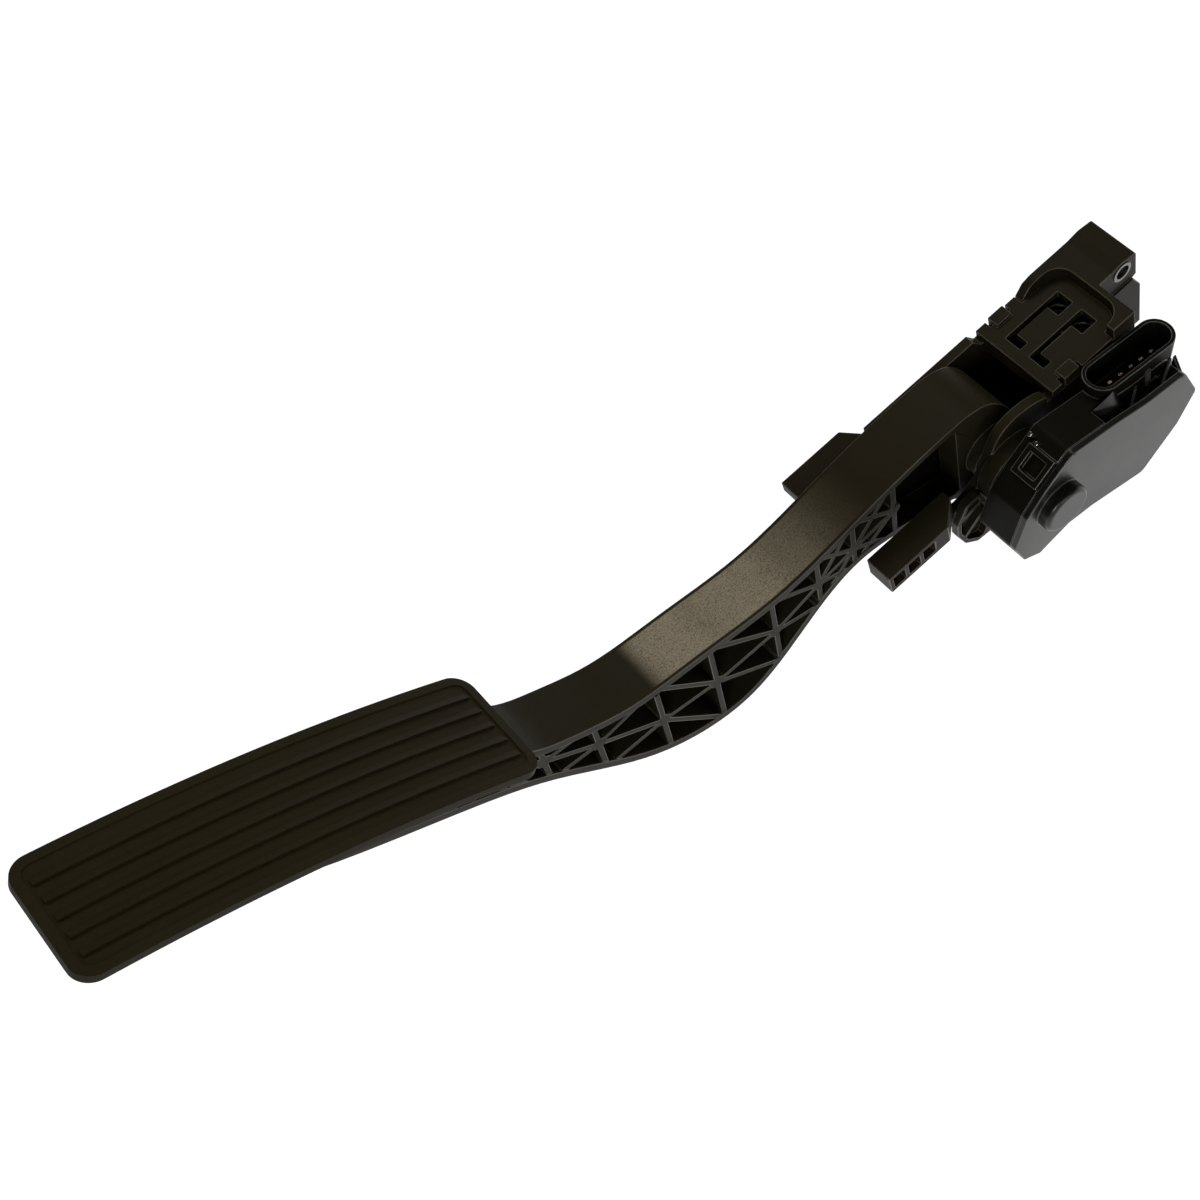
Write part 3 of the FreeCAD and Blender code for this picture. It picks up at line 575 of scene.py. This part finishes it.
# Circuit board, its two chips, the magnet that they read and the terminals that they feed.
# Solder mask on a glass-cloth board, moulded chips, sintered ferrite and plated brass.
board_mask = moulded("board_mask", dark=(0.02, 0.12, 0.05), light=(0.03, 0.16, 0.07), roughness=0.3)
chip_black = moulded("chip_black", dark=(0.02, 0.02, 0.02), light=(0.03, 0.03, 0.03), roughness=0.5)
ferrite = metal("ferrite", colour=(0.16, 0.16, 0.165), roughness=0.5, streak_scale=500.0)
brass = metal("terminal_brass", colour=(0.95, 0.72, 0.40), roughness=0.25, streak_scale=400.0)
finish_node("circuit_board", board_mask)
finish_node("hall_chips", chip_black)
finish_node("rotor_magnet", ferrite)
finish_node("connector_terminals", brass)

# Floor and backdrop: a plain pale light table under the pedal, with a white sweep standing all round it.
# The table's own soft glow washes out the shadows, and the sweep only closes the picture at low angles.
floor_gap = 0.0005
floor_side = 8.0
floor_level = cad_box[0][2] - floor_gap
sweep_foot = 3.8
sweep_sides = 96
sweep_steps = 6
sweep_r = 0.8
wall_rise = 2.2
paper_grey = 0.12
paper_glow = 0.97
bpy.ops.mesh.primitive_plane_add(size=floor_side, location=(0.0, 0.0, floor_level))
floor = bpy.context.object
bpy.ops.object.transform_apply(location=True, rotation=True, scale=True)
floor.name = "floor"
floor.select_set(False)
bpy.ops.mesh.primitive_circle_add(vertices=sweep_sides, radius=sweep_foot, location=(0.0, 0.0, floor_level))
backdrop = bpy.context.object
bpy.ops.object.transform_apply(location=True, rotation=True, scale=True)
backdrop.name = "backdrop"
bpy.ops.object.mode_set(mode="EDIT")
bpy.ops.mesh.select_all(action="SELECT")
reach, level = sweep_foot, 0.0
for i in range(1, sweep_steps + 2):
    turn = math.pi / 2.0 * min(i, sweep_steps) / sweep_steps
    new_reach = sweep_foot + sweep_r * math.sin(turn)
    new_level = sweep_r * (1.0 - math.cos(turn)) + (wall_rise if i > sweep_steps else 0.0)
    widen = new_reach / reach
    bpy.ops.mesh.extrude_region_move(TRANSFORM_OT_translate={"value": (0.0, 0.0, new_level - level)})
    bpy.ops.transform.resize(value=(widen, widen, 1.0), center_override=(0.0, 0.0, 0.0))
    reach, level = new_reach, new_level
bpy.ops.object.mode_set(mode="OBJECT")
bpy.ops.object.shade_smooth_by_angle(angle=piece_shade)
backdrop.select_set(False)
backdrop.visible_diffuse = False
backdrop.visible_glossy = False
paper = bpy.data.materials.new("pale_paper")
paper.use_nodes = True
sheet_shader = paper.node_tree.nodes["Principled BSDF"]
sheet_shader.inputs["Base Color"].default_value = (paper_grey, paper_grey, paper_grey, 1.0)
sheet_shader.inputs["Roughness"].default_value = 0.9
sheet_shader.inputs["Emission Color"].default_value = (1.0, 1.0, 1.0, 1.0)
sheet_shader.inputs["Emission Strength"].default_value = paper_glow
for sheet in (floor, backdrop):
    sheet.data.materials.append(paper)

# Camera: it stands at the photograph's viewing angle, above the pad's end on the sensor's side.
# It is aimed by the right and forward directions of its picture, which are squared to each other.
camera_data = bpy.data.cameras.new("camera")
camera_data.sensor_width = 36.0
camera_data.lens = 58.43
camera_data.clip_start = 0.01
camera = bpy.data.objects.new("camera", camera_data)
bpy.context.collection.objects.link(camera)
eye = Vector((-0.22935, -0.2656, 0.5670))
right = Vector((0.7443, -0.6238, -0.2386)).normalized()
forward = Vector((0.1039, 0.4611, -0.8813)).normalized()
up = right.cross(forward).normalized()
right = forward.cross(up).normalized()
camera.matrix_world = Matrix.Translation(eye) @ Matrix((right, up, -forward)).transposed().to_4x4()
bpy.context.scene.camera = camera


# Studio light: a key from behind and a fill from the housing's end, kept out of the reflections.
# Three more softboxes, one past the housing and two on the sensor's side, show in the glossy faces.
# A faint white surround lifts what none of them reaches.
def softbox(name, place, aim, width, depth, power):
    """A rectangular area light pointed at a target."""
    light = bpy.data.lights.new(name, "AREA")
    light.shape = "RECTANGLE"
    light.size = width
    light.size_y = depth
    light.energy = power
    holder = bpy.data.objects.new(name, light)
    bpy.context.collection.objects.link(holder)
    holder.location = place
    holder.rotation_euler = (Vector(aim) - Vector(place)).to_track_quat("-Z", "Y").to_euler()
    return holder


back_key = softbox("back_key", place=(0.1, 1.3, 1.7), aim=(-0.14, 0.0, 0.03), width=0.9, depth=0.7,
                   power=28.0)
side_fill = softbox("side_fill", place=(1.7, 0.1, 1.2), aim=(-0.2, 0.0, 0.05), width=1.0, depth=1.0,
                    power=14.0)
for lamp in (back_key, side_fill):
    lamp.visible_glossy = False
softbox("glint_softbox", place=(0.35, 0.38, 0.75), aim=(0.0, -0.03, 0.01), width=0.3, depth=0.3, power=0.85)
softbox("front_strip", place=(0.08, -1.05, 0.44), aim=(-0.01, -0.04, 0.02), width=0.5, depth=0.3, power=2.2)
softbox("front_softbox", place=(-0.95, -0.85, 0.85), aim=(-0.05, -0.02, 0.0), width=0.6, depth=0.6, power=9.0)
surround_glow = 0.02
world = bpy.data.worlds.new("studio")
world.use_nodes = True
world.node_tree.nodes["Background"].inputs["Color"].default_value = (1.0, 1.0, 1.0, 1.0)
world.node_tree.nodes["Background"].inputs["Strength"].default_value = surround_glow
bpy.context.scene.world = world
bpy.context.scene.view_settings.view_transform = "Standard"
